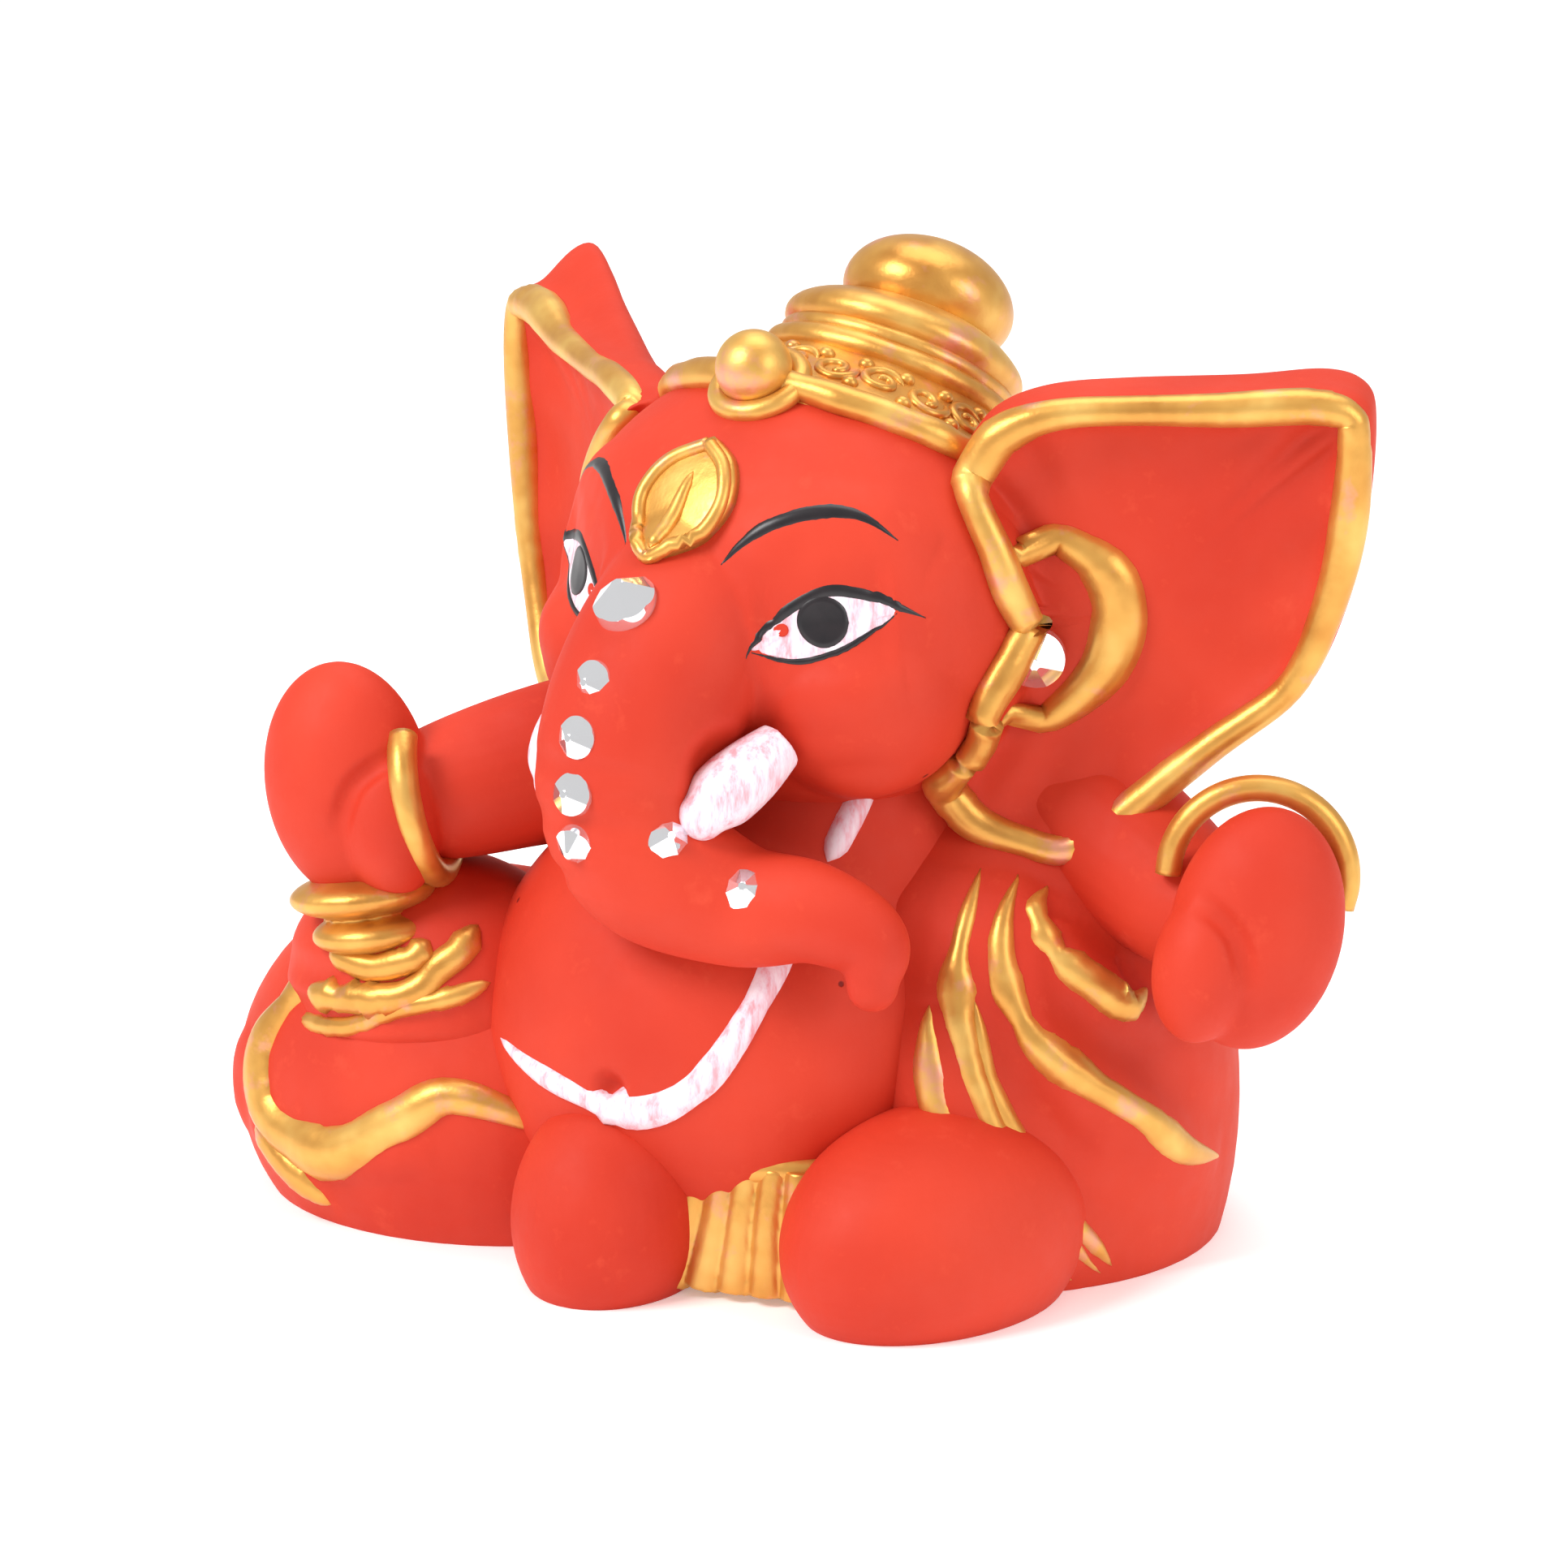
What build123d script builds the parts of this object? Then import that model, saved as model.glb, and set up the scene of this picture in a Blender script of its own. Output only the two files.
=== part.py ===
from build123d import *
import os
from math import cos, pi, radians, sin, tan

# A small seated Ganesha figure, poured in a rubber mould, painted, and set with nine glued crystals.
# Millimetres, +Z up. The figure faces -Y, its own left side is +X, and it rests on the plane Z = 0.
# At the end everything is moved so that the origin is the middle of the footprint.
# Each sculpted form is trimmed by the forms that it grows out of, so neighbours meet face to face.

# ---- body ----
belly_width = 38.5
belly_depth = 35.0
belly_height = 38.0
belly_x = -6.5
belly_y = -9.0
belly_z = 17.0
chest_width = 33.0
chest_depth = 27.0
chest_height = 38.0
chest_lift = 12.0            # chest centre above belly centre
back_rise = 6.0              # how far the chest leans back from the belly

# ---- legs and feet ----
thigh_width = 40.0
thigh_depth = 34.0
thigh_height = 34.0
thigh_spread = 21.5          # thigh centre out from the belly centre, on the open right side
drape_width = 39.0
drape_depth = 38.0
drape_height = 56.0
drape_spread = 19.0          # left drape centre out from the belly centre
foot_width = 15.0
foot_length = 20.0
foot_height = 14.6
foot_gap = 22.0              # centre to centre
foot_front = -21.5
left_shin_width = 19.0
left_shin_length = 27.0
pleat_count = 5
pleat_width = 2.1
pleat_height = 10.0
pleat_depth = 4.0

# ---- arms and hands ----
arm_diameter = 11.0
hand_width = 12.8
hand_height = 18.5
hand_depth = 9.5
right_hand_x = -34.6
right_hand_y = -17.0
right_hand_z = 35.0
left_hand_x = 36.3
left_hand_y = -12.0
left_hand_z = 30.0
wrist_drop = 9.0             # wrist centre below the hand centre
cuff_diameter = 11.0
bangle_diameter = 2.2
shawl_width = 24.0
shawl_height = 20.0

# ---- head ----
head_width = 39.0
head_depth = 35.0
head_height = 35.0
head_lift = 50.0             # head centre above the floor
head_forward = 8.0           # head centre in front of the neck axis
head_turn = -17.0            # degrees, the face looks towards the figure's right
neck_y = 4.0
trunk_root_width = 19.0
trunk_root_depth = 17.0
trunk_width = 13.5
trunk_tip_diameter = 3.2
trunk_segments = 12
tusk_diameter = 6.0
tusk_length = 11.0
tusk_spread = 6.6

# ---- ears ----
ear_width = 35.0
ear_height = 37.5
ear_thickness = 5.0
ear_dish = 1.6               # depth of the hollow in the front of the ear
ear_root_out = 20.0          # ear root, sideways from the head's middle
ear_root_forward = 6.0
ear_sweep = 33.0             # degrees each ear plane swings back from the face
ear_foot = 30.3              # lowest point of the ears above the floor
rim_bead = 2.8
crescent_width = 4.2
crescent_thickness = 1.8

# ---- crown ----
crown_lean = 34.0            # degrees the crown leans back
crown_width = 33.0           # over the rim bead
crown_seat = 58.8            # rim plane above the floor, on the crown axis
crown_rim_bead = 2.4
panel_height = 5.6
turban_diameter = 19.0
turban_bulge = 5.4
knob_diameter = 13.5
knob_height = 9.0
boss_diameter = 5.8
collar_bead = 1.8
leaf_length = 13.0
leaf_width = 8.4
leaf_thickness = 2.0
leaf_rise = 62.0             # top of the brow leaf, degrees up the head

# ---- beads, bands and crystals ----
thread_width = 2.0
fold_bead = 2.2
band_bead = 3.2
small_stone = 3.2
brow_stone = 4.8
ear_stone = 4.4
stone_rise = 0.42            # crystal height over its diameter
stone_sink = 0.35            # how far the girdle sits in its pocket
pocket_gap = 0.05


def egg(place, width, depth, height):
    """An egg-shaped solid with its middle at place and its skin's seam at the back."""
    return place * scale(Rot(0, 0, 90) * Sphere(1), by=(width / 2, depth / 2, height / 2))


def skin(place, width, depth, height, turn, rise, lift=0.0):
    """A point on an egg's skin: turn degrees round from the front, rise degrees up, lift outwards."""
    flat = cos(radians(rise))
    x = (width / 2 + lift) * sin(radians(turn)) * flat
    y = -(depth / 2 + lift) * cos(radians(turn)) * flat
    z = (height / 2 + lift) * sin(radians(rise))
    return (place * Pos(x, y, z)).position


def above_floor(solid):
    """Keeps what stands above the resting plane."""
    return solid & Pos(0, 0, 100) * Box(400, 400, 200)


def limb(centres, widths, depths, out):
    """A sculpted limb through round sections; each depth is measured along the direction out."""
    path = Spline([Vector(*c) for c in centres])
    sections = []
    for centre, width, depth in zip(centres, widths, depths):
        along = path.tangent_at(path.param_at_point(Vector(*centre)))
        side = out.cross(along).normalized()
        sections.append(Plane(origin=centre, x_dir=side, z_dir=along) * Ellipse(width / 2, depth / 2))
    return loft(sections)


def bead(points, diameter):
    """A round bead along a smooth line through the points."""
    path = Spline([Vector(*p) for p in points])
    start = Plane(origin=path @ 0, z_dir=path % 0)
    return sweep(start * Circle(diameter / 2), path=path)


def open_ring(radius, diameter, start, span):
    """A round bead bent along an arc, in degrees, with its gap hidden in what it goes round."""
    path = CenterArc((0, 0, 0), radius, start, span)
    return sweep(Plane(origin=path @ 0, z_dir=path % 0) * Circle(diameter / 2), path=path)


def hoop(place, radius, bead_size):
    """A round-edged disc that shows as a bead where its rim stands out of the forms around it."""
    disc = Cylinder(radius + bead_size / 2, bead_size)
    return place * fillet(disc.edges().filter_by(GeomType.CIRCLE), bead_size * 0.42)


def skin_bead(form, marks, diameter, lift=0.0):
    """A bead laid along an egg's skin; marks are (turn, rise) pairs in degrees."""
    return bead([skin(*form, turn, rise, lift) for turn, rise in marks], diameter)


def crystal(diameter, sink):
    """A round brilliant: flat table, eight star facets, eight main facets, girdle sunk below z = 0."""
    radius = diameter / 2
    height = diameter * stone_rise
    stone = Pos(0, 0, (height - sink) / 2) * Cylinder(radius, height + sink)
    main_slope = radians(40)
    star_slope = radians(22)
    for step in range(8):
        for slope, start, offset in ((main_slope, 0.18, 0.0), (star_slope, 0.60, 22.5)):
            reach = radius * cos(slope) + height * start * sin(slope)
            face = Rot(0, 0, 45 * step + offset) * Rot(0, 90 - (90 - slope * 180 / pi), 0)
            keep = face * Pos(0, 0, -20 + radius * sin(slope) + height * start * cos(slope)) * Box(60, 60, 40)
            stone = stone & keep
    return stone


# ---- frames shared by many pieces ----
head_axis = Pos(0, neck_y, 0) * Rot(0, 0, head_turn)
facing = Vector(sin(radians(head_turn)), -cos(radians(head_turn)), 0)
belly_place = Pos(belly_x, belly_y, belly_z)
belly_form = (belly_place, belly_width, belly_depth, belly_height)
chest_place = Pos(belly_x + 3, belly_y + back_rise, belly_z + chest_lift)
chest_form = (chest_place, chest_width, chest_depth, chest_height)
thigh_place = Pos(belly_x - thigh_spread, belly_y + 3, thigh_height * 0.24)
thigh_form = (thigh_place, thigh_width, thigh_depth, thigh_height)
drape_place = Pos(belly_x + drape_spread, belly_y + 10, belly_z - 7)
drape_form = (drape_place, drape_width, drape_depth, drape_height)
head_place = head_axis * Pos(0, -head_forward, head_lift)
head_form = (head_place, head_width, head_depth, head_height)

pieces = {}
cutters = []


def largest(shape):
    """The biggest lump of a shape."""
    return max(shape.solids(), key=lambda lump: lump.volume)


def trim(solid, form):
    """A solid less a form, which is grown by a hair where the exact cut comes out broken."""
    middle = Pos(form.bounding_box().center())
    for growth in (1.0, 1.0004, 1.0015, 1.005, 1.012, 1.03):
        cutter = form if growth == 1.0 else middle * scale(middle.inverse() * form, by=growth)
        shared = solid & cutter
        if shared is None or not shared.solids():
            return solid
        expected = solid.volume - abs(shared.volume)
        left = [lump for lump in (solid - cutter).solids() if lump.volume > 0]
        total = sum(lump.volume for lump in left)
        if left and total < expected * 1.02 + 1.0 and total > expected * 0.5:
            return max(left, key=lambda lump: lump.volume)
    marks = [corner.center() for corner in solid.vertices()] + [face.center() for face in solid.faces()]
    if any(form.is_inside(mark) for mark in marks):
        raise ValueError("a form swallowed a whole piece")
    return solid


def add(name, *lumps, clear_of=()):
    """Fuses lumps into one form, trims it by every earlier lump that it meets, and keeps it as a piece.

    The cuts use the earlier lumps before their own trimming, so no cut meets a face it shares.
    clear_of names pieces that stay well away from this one at any size.
    """
    solid = lumps[0]
    for lump in lumps[1:]:
        solid = solid + lump
    solid = largest(solid)
    for host, cutter in cutters:
        if host in clear_of:
            continue
        reach = solid.bounding_box()
        near = cutter.bounding_box()
        apart = max(
            near.min.X - reach.max.X, reach.min.X - near.max.X,
            near.min.Y - reach.max.Y, reach.min.Y - near.max.Y,
            near.min.Z - reach.max.Z, reach.min.Z - near.max.Z,
        )
        if apart < 0:
            solid = trim(solid, cutter)
    pieces[name] = solid
    cutters.extend((name, largest(lump)) for lump in lumps)


# ---- torso ----
add("torso", above_floor(egg(*belly_form)), above_floor(egg(*chest_form)))

# ---- head and trunk ----
add("head", egg(*head_form))
trunk_front = head_forward + head_depth / 2
trunk_line = [
    (0, -(trunk_front - 11.0), head_lift + 5.0),
    (0, -(trunk_front - 2.6), head_lift - 0.5),
    (0, -(trunk_front + 2.6), head_lift - 6.0),
    (-0.4, -(trunk_front + 4.2), head_lift - 11.0),
    (2.0, -(trunk_front + 3.6), head_lift - 16.0),
    (8.0, -(trunk_front + 1.2), head_lift - 18.8),
    (14.0, -(trunk_front - 0.2), head_lift - 18.6),
    (18.4, -(trunk_front - 1.4), head_lift - 20.6),
    (18.6, -(trunk_front - 1.2), head_lift - 24.0),
]
trunk_sizes = [trunk_root_depth * 0.92, trunk_root_width * 0.88, trunk_root_depth * 0.92]
trunk_sizes += [trunk_width * s for s in (1.0, 0.90, 0.68, 0.54, 0.44)] + [trunk_tip_diameter * 1.1]
trunk_path = Spline([Vector(*p) for p in trunk_line])
trunk_lumps = []
for step in range(trunk_segments):
    share = step / (trunk_segments - 1)
    spot = head_axis * Pos(trunk_path @ share)
    slot = share * (len(trunk_sizes) - 1)
    low = min(int(slot), len(trunk_sizes) - 2)
    size = trunk_sizes[low] + (trunk_sizes[low + 1] - trunk_sizes[low]) * (slot - low)
    trunk_lumps.append(spot * Sphere(size / 2))
add("trunk", *trunk_lumps)

# ---- tusks ----
for side, name in ((-1, "right"), (1, "left")):
    lean = Rot(24, side * 34, 0)
    tusk = head_axis * Pos(side * tusk_spread, -27.2, 40.2) * lean
    add(name + "_tusk", tusk * scale(Sphere(1), by=(tusk_diameter / 2, tusk_diameter / 2, tusk_length / 2)))

# ---- crown, on an axis that leans back from the head ----
crown_axis = head_axis * Pos(0, -1.0, crown_seat) * Rot(-crown_lean, 0, 0)
rim_radius = crown_width / 2 - crown_rim_bead / 2
turban_radius = turban_diameter / 2 - turban_bulge / 2
panel_top = turban_radius + 2.2
cap = crown_axis * loft([Circle(rim_radius - 0.6), Pos(0, 0, panel_height) * Circle(panel_top)])
add("crown_panel", cap, crown_axis * Pos(0, 0, -4) * Cylinder(rim_radius - 0.6, 8), clear_of=["trunk"])
rim_disc = crown_axis * Cylinder(rim_radius + crown_rim_bead / 2, crown_rim_bead)
add("crown_rim", rim_disc, clear_of=["trunk"])
ridge_z = panel_height + 0.6
add("crown_ridge", hoop(crown_axis * Pos(0, 0, ridge_z), panel_top - 0.2, 2.2), clear_of=["trunk"])
turban_z = ridge_z + turban_bulge * 0.36
turban = hoop(crown_axis * Pos(0, 0, turban_z), turban_radius, turban_bulge)
add("crown_turban", turban, clear_of=["trunk"])
knob_z = turban_z + turban_bulge * 0.30 + knob_height * 0.42
neck = Pos(0, 0.8, knob_z - knob_height * 0.42) * Cylinder(knob_diameter * 0.42, knob_height * 0.5)
knob = egg(Pos(0, 0.8, knob_z), knob_diameter, knob_diameter, knob_height)
add("crown_knob", crown_axis * knob, crown_axis * neck, clear_of=["trunk"])

boss_place = crown_axis * Pos(0, -(rim_radius + 1.2), 0.4) * Rot(62, 0, 0)
add("crown_boss", boss_place * Sphere(boss_diameter / 2), clear_of=["trunk"])
collar_place = boss_place * Pos(0, 0, -boss_diameter * 0.30)
collar_back = collar_place * Pos(0, 0, -1.6) * Cylinder(boss_diameter * 0.6, 3.2)
add("boss_collar", collar_back, hoop(collar_place, boss_diameter * 0.58, collar_bead), clear_of=["trunk"])

leaf_top = Vector(*skin(*head_form, 0, leaf_rise))
leaf_low = Vector(*skin(*head_form, 0, leaf_rise - 28))
leaf_side = Vector(cos(radians(head_turn)), sin(radians(head_turn)), 0)
leaf_out = leaf_side.cross(leaf_top - leaf_low)
leaf_frame = Plane(origin=leaf_top, x_dir=leaf_side, z_dir=leaf_out)
leaf_outline = [(0, 0), (0.36, -0.22), (0.5, -0.48), (0.30, -0.80), (0, -1.0)]
leaf_half = [(x * leaf_width, y * leaf_length) for x, y in leaf_outline]
leaf_other = [(-x, y) for x, y in leaf_half]
leaf_face = make_face([Spline(leaf_half), Spline(leaf_other)])
leaf = leaf_frame * Pos(0, 0, -leaf_thickness) * extrude(leaf_face, amount=leaf_thickness * 2)
add("brow_pendant", leaf)

# ---- ears: a dished plate, a rim bead, a crescent bead ----
ear_outline = [
    (-0.06, 0.50), (-0.13, 0.58), (-0.20, 0.70), (-0.17, 0.83), (-0.03, 0.95), (0.20, 0.985), (0.44, 0.985),
    (0.60, 0.995), (0.69, 0.96), (0.70, 0.86), (0.69, 0.72), (0.65, 0.54), (0.56, 0.36), (0.38, 0.21),
    (0.20, 0.08), (0.05, 0.0), (-0.12, 0.04), (-0.24, 0.15), (-0.28, 0.28), (-0.24, 0.40), (-0.15, 0.47),
]


def ear_sketch(side, margin=0.0):
    """The ear's outline in its own plane, x outwards from the root, moved inwards by a margin."""
    marks = [Vector(pair[0] * ear_width, pair[1] * ear_height) for pair in ear_outline]
    moved = []
    for step, mark in enumerate(marks):
        along = (marks[(step + 1) % len(marks)] - marks[step - 1]).normalized()
        inwards = Vector(along.Y, -along.X)
        place = mark + inwards * margin
        moved.append((side * place.X, place.Y))
    return make_face(Spline(moved, periodic=True))


for side, name in ((-1, "right"), (1, "left")):
    root = head_axis * Pos(side * ear_root_out, -ear_root_forward, ear_foot) * Rot(0, 0, side * ear_sweep)
    sheet = root * Rot(90, 0, 0)
    outline = ear_sketch(side)
    plate = sheet * extrude(outline, amount=-ear_thickness)
    hollow = sheet * extrude(ear_sketch(side, rim_bead * 1.1), amount=-ear_dish)
    add(name + "_ear", plate - hollow)
    inner = ear_sketch(side, rim_bead)
    rim = extrude(outline, amount=rim_bead * 0.45) - extrude(inner, amount=rim_bead * 0.45)
    add(name + "_ear_rim", sheet * rim)
    bow = [(-0.03, 0.64), (0.19, 0.51), (-0.08, 0.27)]
    belly_bow = [(-0.03, 0.64), (0.19 - crescent_width / ear_width, 0.505), (-0.08, 0.27)]
    outer_arc = ThreePointArc(*[(side * u * ear_width, v * ear_height) for u, v in bow])
    inner_arc = ThreePointArc(*[(side * u * ear_width, v * ear_height) for u, v in belly_bow])
    moon = extrude(make_face([outer_arc, inner_arc]), amount=crescent_thickness)
    add(name + "_ear_crescent", sheet * Pos(0, 0, -ear_dish) * moon)

# ---- legs, feet and the pleats between them ----
add("right_thigh", above_floor(egg(*thigh_form)))
add("left_drape", above_floor(egg(*drape_form)))
right_foot = egg(Pos(-foot_gap / 2, foot_front, foot_height * 0.34), foot_width, foot_length, foot_height * 1.32)
add("right_foot", above_floor(right_foot))
shin_place = Pos(foot_gap / 2 + 2.5, foot_front + 3.2, foot_height * 0.36) * Rot(0, 0, -24)
add("left_foot", above_floor(egg(shin_place, left_shin_width, left_shin_length, foot_height * 1.36)))
slab = Box(pleat_count * pleat_width, pleat_depth, pleat_height)
pleats = Pos(0, -pleat_depth * 0.5, pleat_height / 2) * slab
for step in range(pleat_count):
    across = (step - (pleat_count - 1) / 2) * pleat_width
    fold = Cylinder(pleat_width * 0.62, pleat_height)
    pleats = pleats + Pos(across, -pleat_depth, pleat_height / 2) * fold
pleat_band = Pos(0, -pleat_depth, pleat_height) * Rot(0, 90, 0) * Cylinder(1.3, pleat_count * pleat_width)
pleat_place = Pos(0, foot_front + 2.6, 0)
add("dhoti_pleats", pleat_place * pleats)
add("pleat_waistband", pleat_place * pleat_band)

# ---- arms, hands, bangles ----
right_wrist = (right_hand_x + 2.5, right_hand_y + 0.5, right_hand_z - wrist_drop)
right_shoulder = (belly_x - chest_width * 0.30, belly_y + back_rise, belly_z + 18)
right_elbow = ((right_wrist[0] + right_shoulder[0]) / 2, right_wrist[1] + 5, right_shoulder[2] - 1)
left_wrist = (left_hand_x - 1.0, left_hand_y + 2.5, left_hand_z - wrist_drop * 0.3)
left_shoulder = (belly_x + chest_width * 0.52, belly_y + back_rise + 6, belly_z + 19)
left_elbow = (left_wrist[0] - 6.5, left_wrist[1] + 4.5, left_wrist[2] + 0.5)
up = Vector(0, 0, 1)
arm_widths = [arm_diameter, arm_diameter, arm_diameter * 0.86]


def hand(place, thumb_side):
    """A mitten hand: one rounded palm and a thumb lobe beside it."""
    palm = egg(place, hand_width, hand_depth, hand_height)
    thumb_place = place * Pos(thumb_side * hand_width * 0.26, -hand_depth * 0.16, -hand_height * 0.17)
    return palm, egg(thumb_place, hand_width * 0.62, hand_depth * 0.86, hand_height * 0.62)


shawl_place = Pos(right_wrist[0] + 2.0, right_wrist[1] + 5.0, right_wrist[2] - 7.5)
shawl_form = (shawl_place, shawl_width, shawl_width * 0.86, shawl_height)
add("right_shawl", above_floor(egg(*shawl_form)))
right_hand_place = Pos(right_hand_x, right_hand_y, right_hand_z) * Rot(-6, -8, 12)
left_hand_place = Pos(left_hand_x, left_hand_y, left_hand_z) * Rot(-4, 10, 16)
add("right_hand", *hand(right_hand_place, 1))
add("left_hand", *hand(left_hand_place, -1))
add("right_arm", limb([right_shoulder, right_elbow, right_hand_place.position], arm_widths, arm_widths, up))
add("left_arm", limb([left_shoulder, left_elbow, left_hand_place.position], arm_widths, arm_widths, up))
cuff_place = right_hand_place * Pos(0, 0, -hand_height * 0.47)
cuff_core = cuff_place * Cylinder(cuff_diameter * 0.40, 3.4)
add("right_wrist_cuff", cuff_core, cuff_place * Torus(cuff_diameter * 0.40, 1.1))
ring_place = Pos(right_hand_x + hand_width * 0.50, right_hand_y + 3.0, right_hand_z + 0.5) * Rot(0, 78, 12)
add("right_bangle", ring_place * open_ring(hand_width * 0.42, bangle_diameter, -140, 250))
left_ring = left_hand_place * Pos(-0.6, hand_depth * 0.34, 3.2) * Rot(84, 0, 0)
add("left_bangle", left_ring * open_ring(hand_width * 0.50, bangle_diameter, -10, 200))

# ---- sacred thread and gilded fold lines, laid along the skins ----
thread = [(-43, 1), (-23, -4), (-4, -7), (12, 1), (23, 16), (32, 30)]
add("sacred_thread", skin_bead(belly_form, thread, thread_width, -0.2))
add("sacred_thread_chest", skin_bead(chest_form, [(30, 15), (37, 25), (50, 38)], thread_width, 0.1))
knee_line = [(-46, 34), (-50, 14), (-40, -2), (-22, -3), (-4, 6), (10, 12), (30, 8)]
add("right_knee_band", skin_bead(thigh_form, knee_line, band_bead))
hem_line = [(-44, -6), (-36, -11), (-28, -15)]
add("right_hem_line", skin_bead(thigh_form, hem_line, fold_bead))
add("shawl_coil_low", skin_bead(shawl_form, [(-44, 8), (-20, 3), (8, 12), (27, 26)], fold_bead))
add("shawl_coil_high", skin_bead(shawl_form, [(-26, 24), (-9, 19), (8, 25), (18, 36)], fold_bead))
fold_lines = [
    [(3, 26), (5, 15), (10, 5), (19, -7), (30, -14)],
    [(12, 44), (9, 32), (12, 19), (19, 6), (30, -6), (43, -13)],
    [(26, 46), (21, 32), (28, 22), (39, 15), (53, 8), (72, 0)],
    [(36, 46), (31, 42), (36, 35), (46, 29), (56, 26)],
]
for step, line in enumerate(fold_lines):
    add("left_fold_" + str(step + 1), skin_bead(drape_form, line, fold_bead))


# ---- crystals, each in a pocket that its own size cuts ----
def set_crystal(name, host, origin, direction, diameter):
    """Seats a crystal where a line meets a host's skin, and cuts its pocket."""
    hits = pieces[host].find_intersection_points(Axis(origin, direction))
    near = min(hits, key=lambda hit: (Vector(*origin) - hit[0]).length)
    normal = near[1] if near[1].dot(Vector(*direction)) < 0 else near[1] * -1
    seat = Plane(origin=near[0], z_dir=normal)
    sink = stone_sink + diameter * 0.10
    pocket = seat * Pos(0, 0, -sink + 5) * Cylinder(diameter / 2 + pocket_gap, 10)
    for other in [n for n in pieces if n == host or n.endswith("crescent")]:
        pieces[other] = largest(pieces[other] - pocket)
    pieces[name] = (seat * crystal(diameter, sink)).solids()[0]


def face_point(across, ahead, height):
    """A point given in the head's own frame."""
    return tuple((head_axis * Pos(across, -ahead, height)).position)


back = facing * -1
down_back = Vector(back.X * 0.6, back.Y * 0.6, -0.8)
set_crystal("brow_crystal", "trunk", face_point(0, 60, head_lift + 3.6), tuple(back), brow_stone)
for step, rise in enumerate((-1.6, -5.4, -9.6, -13.6)):
    origin = face_point(0, 60, head_lift + rise)
    set_crystal("trunk_crystal_" + str(step + 1), "trunk", origin, tuple(back), small_stone)
for step, across in ((5, 5.6), (6, 10.6)):
    lower = face_point(across, trunk_front + 2.6, head_lift - 18)
    origin = tuple(Vector(*lower) - down_back * 30)
    set_crystal("trunk_crystal_" + str(step), "trunk", origin, tuple(down_back), small_stone)
for side, name in ((-1, "right"), (1, "left")):
    root = head_axis * Pos(side * ear_root_out, -ear_root_forward, ear_foot) * Rot(0, 0, side * ear_sweep)
    origin = (root * Pos(0, -30, ear_height * 0.46)).position
    target = (root * Pos(0, 0, ear_height * 0.46)).position
    set_crystal(name + "_ear_crystal", name + "_ear", tuple(origin), tuple(target - origin), ear_stone)

# ---- origin to the middle of the footprint, then one file for each piece ----
boxes = [solid.bounding_box() for solid in pieces.values()]
middle_x = (min(box.min.X for box in boxes) + max(box.max.X for box in boxes)) / 2
middle_y = (min(box.min.Y for box in boxes) + max(box.max.Y for box in boxes)) / 2
shift = Pos(-middle_x, -middle_y, -min(box.min.Z for box in boxes))
os.makedirs("parts", exist_ok=True)
for name, solid in pieces.items():
    export_step(shift * solid, "parts/" + name + ".step")
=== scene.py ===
"""A small seated Ganesha figure: poured plaster-resin, painted vermilion, gold and pearl, with crystals."""

from math import cos, pi, radians, sin, sqrt

import bmesh
import bpy
import numpy as np
from mathutils import Euler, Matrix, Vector
from mathutils.bvhtree import BVHTree


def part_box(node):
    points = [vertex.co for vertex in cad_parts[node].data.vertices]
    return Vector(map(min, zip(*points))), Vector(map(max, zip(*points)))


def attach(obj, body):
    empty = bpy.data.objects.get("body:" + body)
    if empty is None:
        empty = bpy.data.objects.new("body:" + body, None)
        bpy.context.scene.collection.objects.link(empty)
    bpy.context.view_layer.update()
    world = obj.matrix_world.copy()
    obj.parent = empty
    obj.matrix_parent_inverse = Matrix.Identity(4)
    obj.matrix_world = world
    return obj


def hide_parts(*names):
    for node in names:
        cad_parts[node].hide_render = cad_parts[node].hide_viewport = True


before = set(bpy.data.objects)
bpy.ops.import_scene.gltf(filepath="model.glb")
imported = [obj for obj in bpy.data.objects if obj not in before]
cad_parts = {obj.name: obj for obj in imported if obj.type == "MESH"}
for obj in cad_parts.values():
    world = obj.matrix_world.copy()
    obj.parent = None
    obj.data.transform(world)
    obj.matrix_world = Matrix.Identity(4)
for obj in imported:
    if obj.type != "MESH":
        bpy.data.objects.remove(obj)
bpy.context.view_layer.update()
bpy.ops.object.select_all(action="DESELECT")

MM = 0.001
HEAD_TURN = radians(-17)  # the face looks towards the figure's right
HEAD_MIDDLE = Vector((-2.34, -3.65, 50.0))  # head's middle from the point between the two feet, mm
NECK_Y = 4.0

head_low, head_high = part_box("head")
head_spot = (head_low + head_high) / 2
ZERO = head_spot - HEAD_MIDDLE * MM
ZERO.z = 0.0


# ---------------------------------------------------------------- places
def at(x, y, z):
    """A place in the figure's own millimetres: front is -y, its left side is +x, z from the shelf."""
    return ZERO + Vector((x, y, z)) * MM


def on_head(across, ahead, up):
    """A place in the head's millimetres: across to the figure's left, ahead from the neck axis, up."""
    x = across * cos(HEAD_TURN) + ahead * sin(HEAD_TURN)
    y = NECK_Y + across * sin(HEAD_TURN) - ahead * cos(HEAD_TURN)
    return at(x, y, up)


def smooth_line(marks, steps=10):
    """A smooth line through the marks; a mark may carry more numbers than three."""
    marks = np.array([list(m) for m in marks], float)
    ends = np.vstack([2 * marks[0] - marks[1], marks, 2 * marks[-1] - marks[-2]])
    line = []
    for k in range(1, len(ends) - 2):
        a, b, c, d = ends[k - 1:k + 3]
        for step in range(steps):
            t = step / steps
            line.append(0.5 * (2 * b + (c - a) * t + (2 * a - 5 * b + 4 * c - d) * t**2
                               + (3 * b - 3 * c + d - a) * t**3))
    line.append(marks[-1])
    return np.array(line)


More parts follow.
